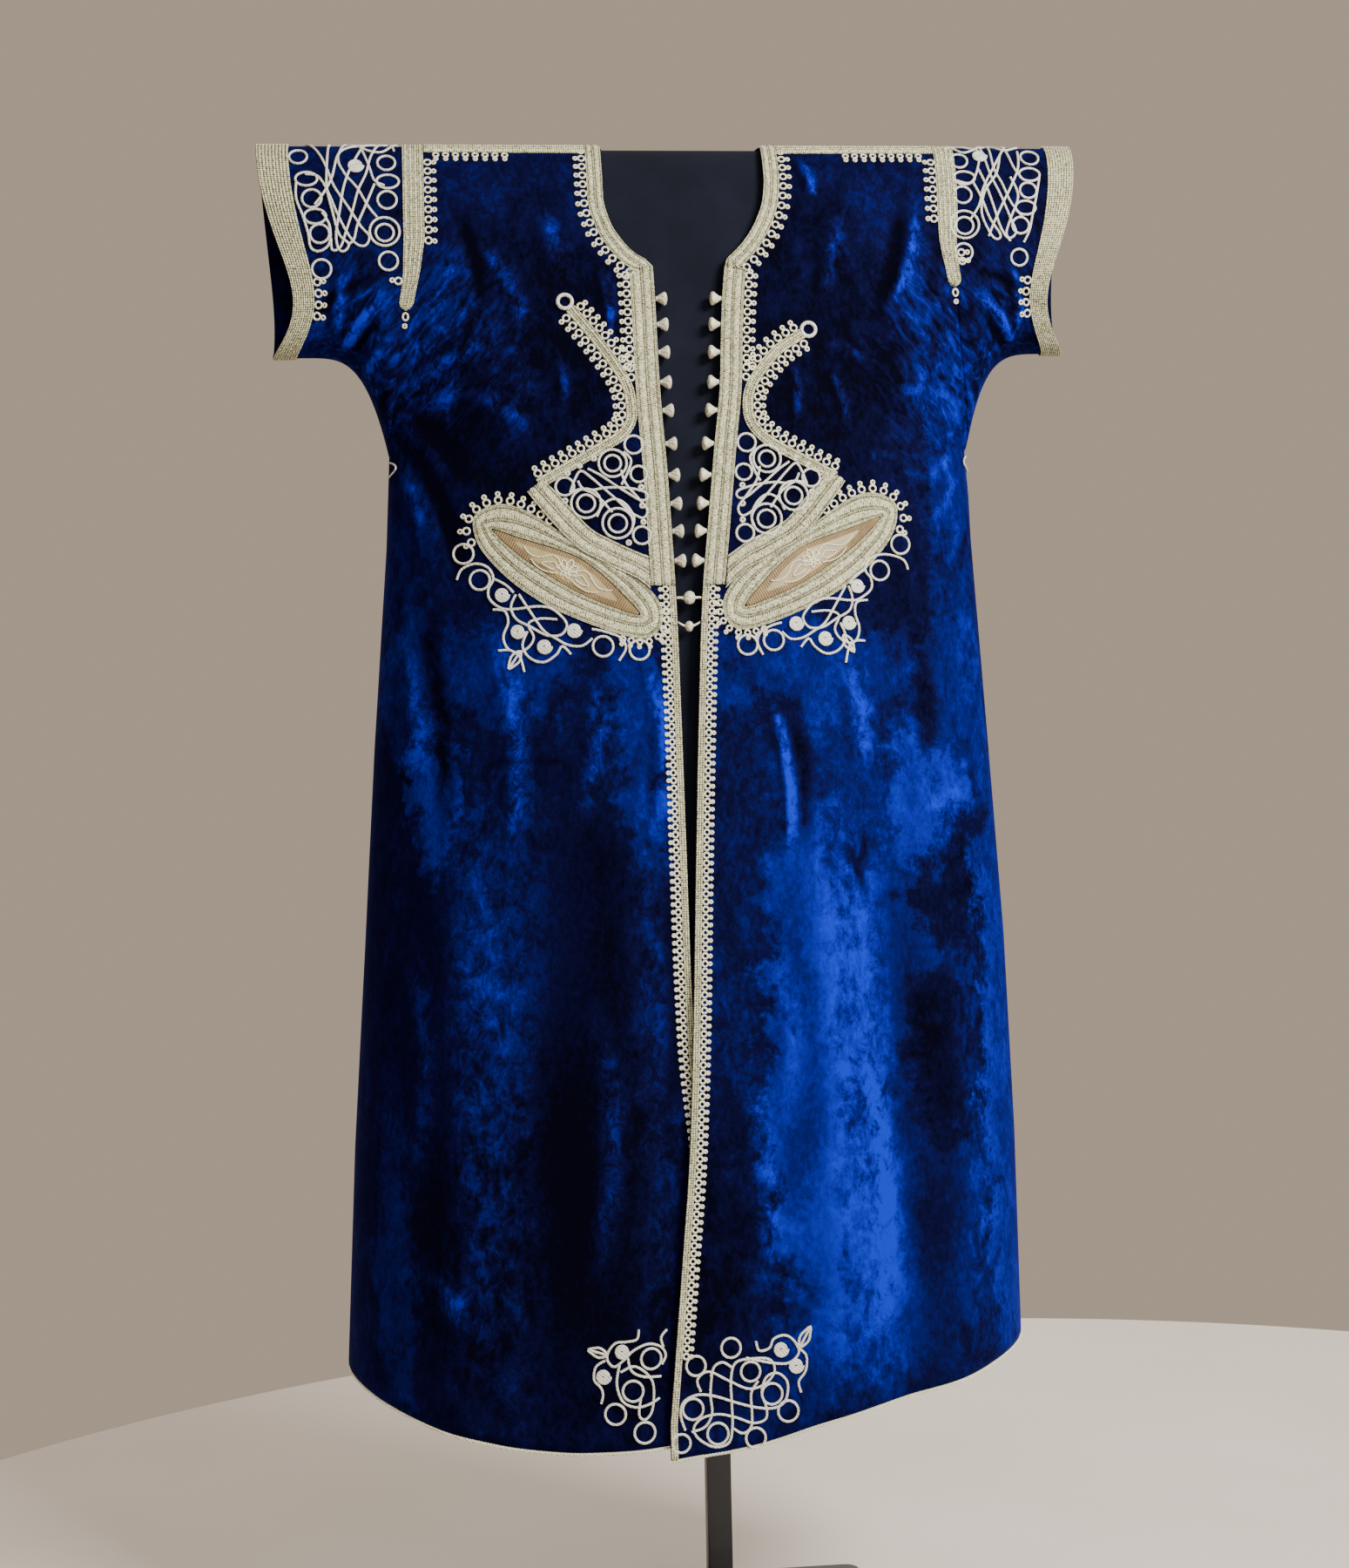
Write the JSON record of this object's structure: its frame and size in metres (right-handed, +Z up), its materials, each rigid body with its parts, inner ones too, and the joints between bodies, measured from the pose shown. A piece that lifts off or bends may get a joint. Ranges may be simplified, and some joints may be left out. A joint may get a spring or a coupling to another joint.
{
  "type": "kaftan on a display stand",
  "caption": "Long open-fronted velvet kaftan with short wide sleeves, braid bands, leaf ornaments and knots down the chest, hung on a limbless padded form on a square post and plate.",
  "frame": {"origin": "centre of the base plate's underside, on the floor", "axes": "+Z up, -Y the way the open front faces, +X to the right of someone looking at the front"},
  "size_m": [0.823, 0.3754, 1.523],
  "materials": {
    "velvet": "crushed royal-blue velvet",
    "braid": "couched off-white metallic braid",
    "cord": "off-white twisted cord",
    "satin": "embroidered beige satin",
    "form_cover": "dark navy jersey over padding",
    "stand_metal": "satin black paint"
  },
  "bodies": {
    "root": {"arm_left": "stand_metal", "arm_right": "stand_metal", "armhole_band_left": "braid", "armhole_band_right": "braid", "back": "velvet", "base": "stand_metal", "belt_loop_left": "cord", "belt_loop_right": "cord", "branch_left": "braid", "branch_right": "braid", "branch_ring_left": "cord", "branch_ring_right": "cord", "cuff_band_left": "braid", "cuff_band_right": "braid", "form": "form_cover", "front_border_left": "braid", "front_border_right": "braid", "front_left": "velvet", "front_right": "velvet", "hem_back": "cord", "hem_front_left": "cord", "hem_front_right": "cord", "insert_left": "satin", "insert_right": "satin", "knot_closed_1": "cord", "knot_closed_2": "cord", "knot_left_1": "cord", "knot_left_10": "cord", "knot_left_2": "cord", "knot_left_3": "cord", "knot_left_4": "cord", "knot_left_5": "cord", "knot_left_6": "cord", "knot_left_7": "cord", "knot_left_8": "cord", "knot_left_9": "cord", "knot_right_1": "cord", "knot_right_10": "cord", "knot_right_2": "cord", "knot_right_3": "cord", "knot_right_4": "cord", "knot_right_5": "cord", "knot_right_6": "cord", "knot_right_7": "cord", "knot_right_8": "cord", "knot_right_9": "cord", "leaf_left": "braid", "leaf_right": "braid", "neck_band": "braid", "placket_band_left": "braid", "placket_band_right": "braid", "post": "stand_metal", "shoulder_band_left": "braid", "shoulder_band_right": "braid", "sleeve_left": "velvet", "sleeve_right": "velvet", "strap_left": "braid", "strap_right": "braid"}
  },
  "joints": []
}
